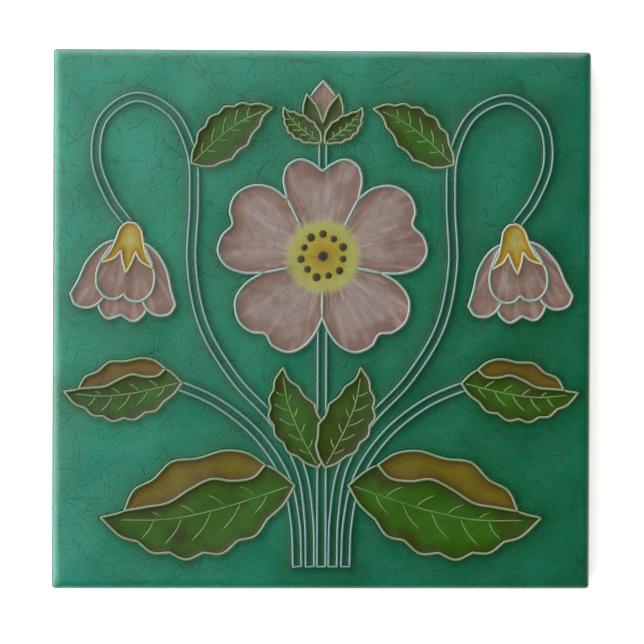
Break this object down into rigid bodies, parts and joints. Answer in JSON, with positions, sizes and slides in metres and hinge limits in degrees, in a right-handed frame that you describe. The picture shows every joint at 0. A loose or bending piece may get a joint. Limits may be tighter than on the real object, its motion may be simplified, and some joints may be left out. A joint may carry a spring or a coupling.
{
  "type": "art nouveau tile",
  "caption": "Square glazed wall tile with raised outlines, coloured glaze fields, an eased front edge and a grooved back to key into mortar.",
  "frame": {"origin": "centre of the plane of the back, on which the tile lies or beds", "axes": "+Z out of the glazed face, +Y towards the top of the picture, +X to its right"},
  "size_m": [0.1524, 0.1524, 0.0095],
  "materials": {
    "ground_glaze": "gloss",
    "biscuit": "matte",
    "outline_glaze": "gloss",
    "petal_glaze": "gloss",
    "yellow_glaze": "gloss",
    "leaf_glaze": "gloss",
    "ochre_glaze": "gloss"
  },
  "bodies": {
    "root": {"tile": "ground_glaze"}
  },
  "joints": []
}
